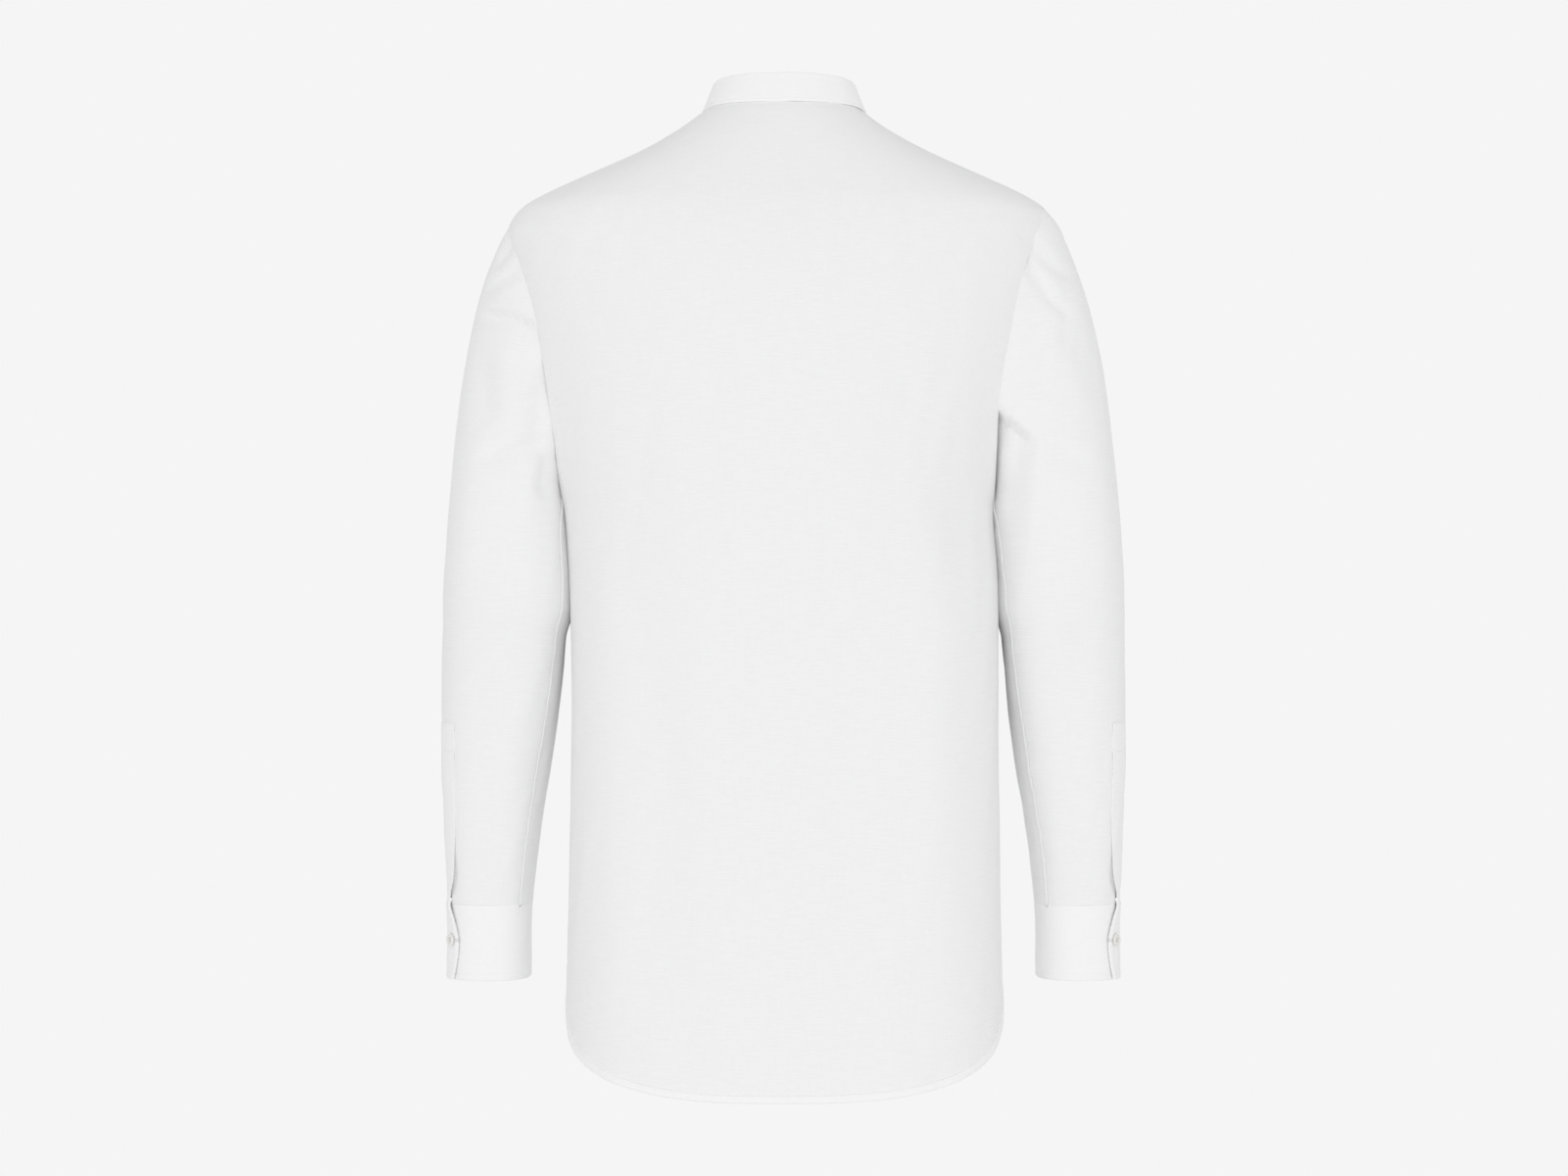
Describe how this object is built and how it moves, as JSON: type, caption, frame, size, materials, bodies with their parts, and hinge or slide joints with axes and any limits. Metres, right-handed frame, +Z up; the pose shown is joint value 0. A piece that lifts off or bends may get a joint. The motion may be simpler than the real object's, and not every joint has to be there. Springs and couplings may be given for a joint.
{
  "type": "casual shirt",
  "caption": "Long-sleeved casual shirt with a plain band collar, a buttoned front, buttoned cuffs and a curved tail hem, hollow as worn.",
  "frame": {"origin": "middle of the neck opening, level with the neckline at the side of the neck, where the wearer carries the shirt", "axes": "+Z up along the wearer's body, -Y the way the shirt's front faces, +X the wearer's left"},
  "size_m": [0.5793, 0.273, 0.8456],
  "materials": {
    "shirting": "matte plain weave with a fine slub, one layer",
    "doubled_shirting": "the same cloth, doubled and interlined, a little brighter",
    "button": "satin off-white with four holes"
  },
  "bodies": {
    "root": {"back": "shirting", "front_left": "shirting", "front_right": "shirting", "sleeve_left": "shirting", "sleeve_right": "shirting", "collar_band": "doubled_shirting", "cuff_left": "doubled_shirting", "cuff_right": "doubled_shirting", "sleeve_placket_left": "doubled_shirting", "sleeve_placket_right": "doubled_shirting", "button_collar": "button", "button_front_1": "button", "button_front_2": "button", "button_front_3": "button", "button_front_4": "button", "button_front_5": "button", "button_front_6": "button", "button_front_7": "button", "button_cuff_left": "button", "button_cuff_right": "button"}
  },
  "joints": []
}
